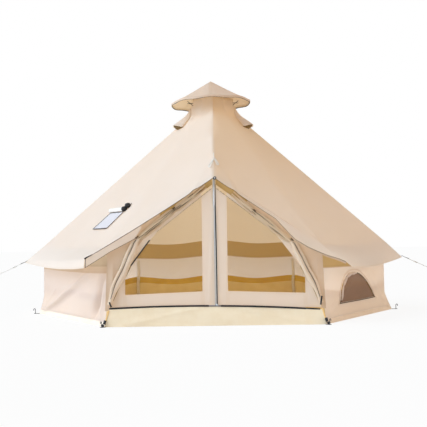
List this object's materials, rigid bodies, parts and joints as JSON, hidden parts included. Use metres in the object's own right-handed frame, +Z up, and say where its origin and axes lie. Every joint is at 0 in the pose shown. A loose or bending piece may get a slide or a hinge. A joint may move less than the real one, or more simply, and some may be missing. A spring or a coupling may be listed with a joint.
{
  "type": "canvas yurt tent",
  "caption": "Six-sided canvas yurt tent with a centre pole, flared eaves, rain cap, hooded vents, screened double door under a gable, arched mesh window and stove opening.",
  "frame": {"origin": "middle of the ground plan, on the ground", "axes": "+Z up along the centre pole, -Y out through the front door, +X to the right as one faces the door"},
  "size_m": [7.9716, 5.81, 3.068],
  "materials": {
    "canvas": "woven cotton canvas, matt",
    "mesh": "brown insect mesh, see-through",
    "groundsheet": "coated groundsheet, satin",
    "steel": "zinc-plated steel tube",
    "heatproof": "grey heatproof cloth with black binding",
    "webbing": "black webbing",
    "rope": "braided rope"
  },
  "bodies": {
    "root": {"center_pole": "steel", "door_pole": "steel", "groundsheet": "groundsheet", "groundsheet_upstand": "groundsheet", "door_sill": "groundsheet", "wall_right_back": "canvas", "wall_back": "canvas", "wall_left_back": "canvas", "wall_left_front": "canvas", "wall_right_front": "canvas", "front_wall_left": "canvas", "front_wall_right": "canvas", "door_leaf_left": "canvas", "door_leaf_right": "canvas", "door_mesh_left": "mesh", "door_mesh_right": "mesh", "door_roll_left": "canvas", "door_roll_right": "canvas", "front_valance_left": "canvas", "front_valance_right": "canvas", "roof_right_back": "canvas", "roof_back": "canvas", "roof_left_back": "canvas", "roof_left_front": "canvas", "roof_right_front": "canvas", "roof_front_left": "canvas", "roof_front_right": "canvas", "roof_crown": "canvas", "rain_cap": "canvas", "vent_right_back": "canvas", "vent_left_back": "canvas", "vent_left_front": "canvas", "vent_right_front": "canvas", "window_mesh": "mesh", "stove_jack": "heatproof", "stove_jack_roll": "canvas", "guy_rope_right": "rope", "guy_rope_back_right": "rope", "guy_rope_back_left": "rope", "guy_rope_left": "rope", "guy_pegs": "steel", "corner_pegs": "steel", "corner_loops": "webbing"}
  },
  "joints": []
}
